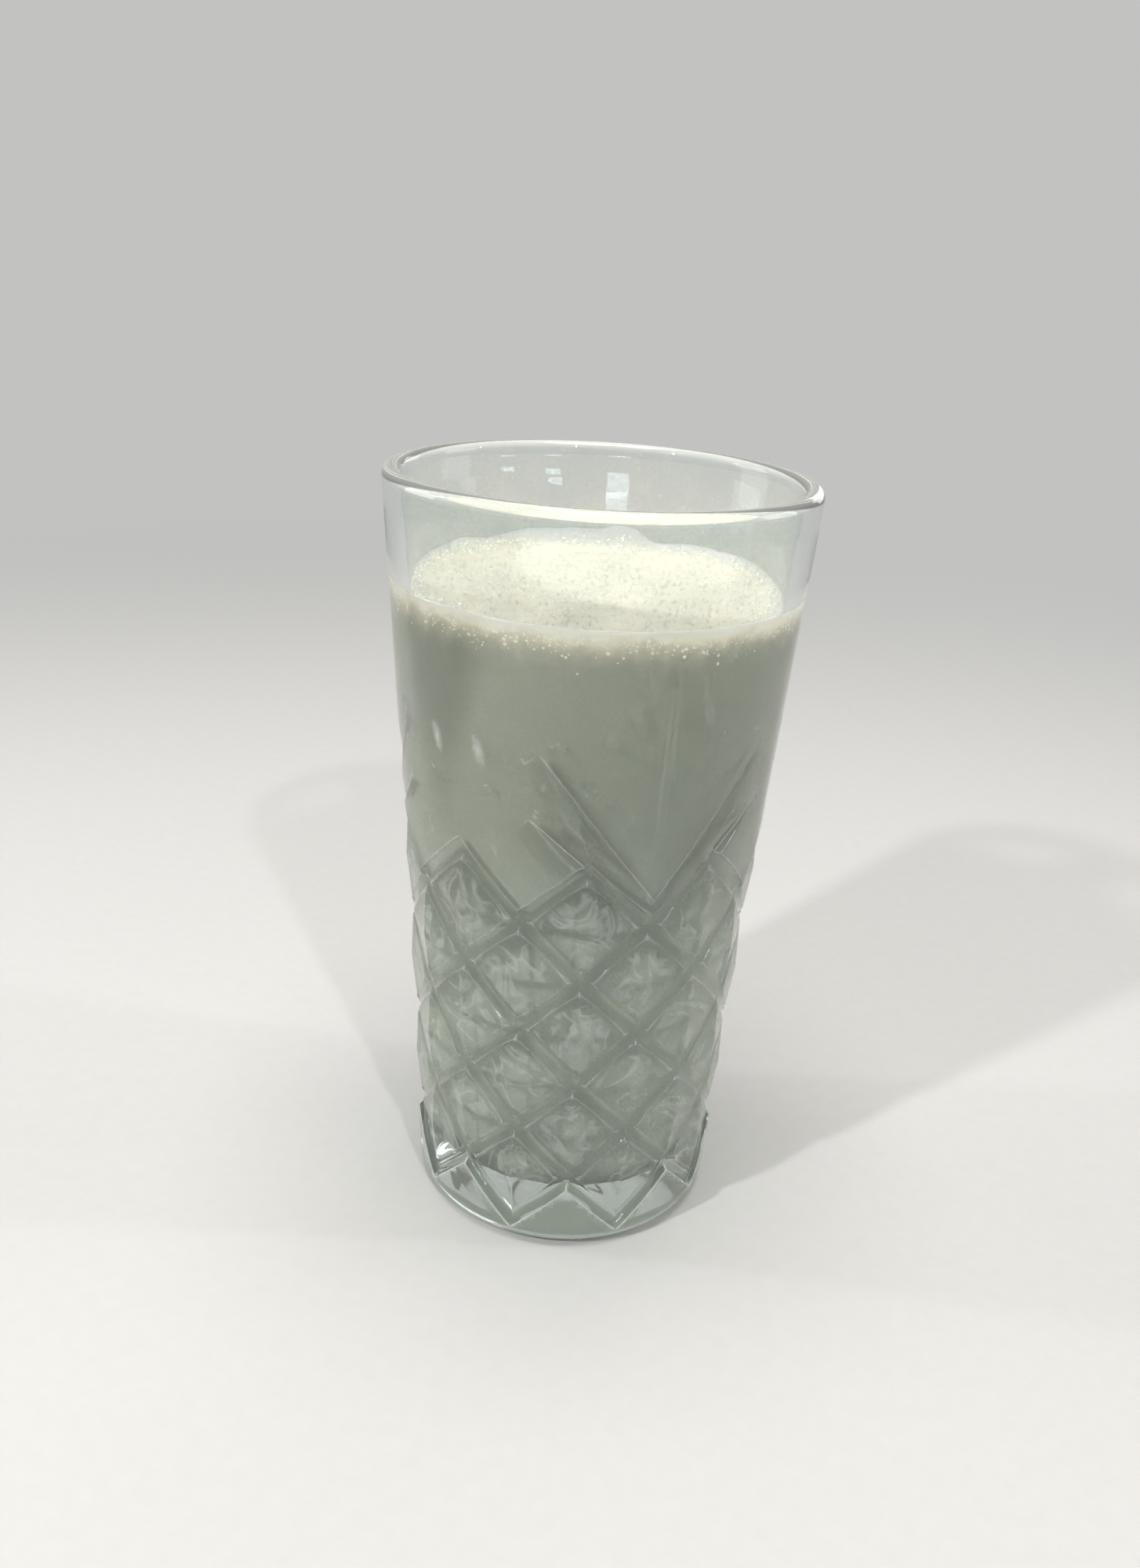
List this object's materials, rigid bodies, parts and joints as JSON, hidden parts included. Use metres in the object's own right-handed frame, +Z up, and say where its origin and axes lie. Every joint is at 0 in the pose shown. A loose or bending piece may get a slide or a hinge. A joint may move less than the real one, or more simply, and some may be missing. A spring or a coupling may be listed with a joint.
{
  "type": "glass of buttermilk",
  "caption": "Tall clear tumbler with a cut diamond and fan pattern, filled with opaque white buttermilk to below the rim",
  "frame": {"origin": "centre of the foot, on the surface that the glass stands on", "axes": "+Z up along the glass's axis; -Y is the front, where a column of diamonds faces out; +X to the right as seen from the front; a fan stands 20 degrees to the right of the front"},
  "size_m": [0.079, 0.079, 0.15],
  "materials": {
    "glass": "clear pressed glass, polished",
    "buttermilk": "opaque creamy white liquid"
  },
  "bodies": {
    "root": {"tumbler": "glass", "buttermilk": "buttermilk"}
  },
  "joints": []
}
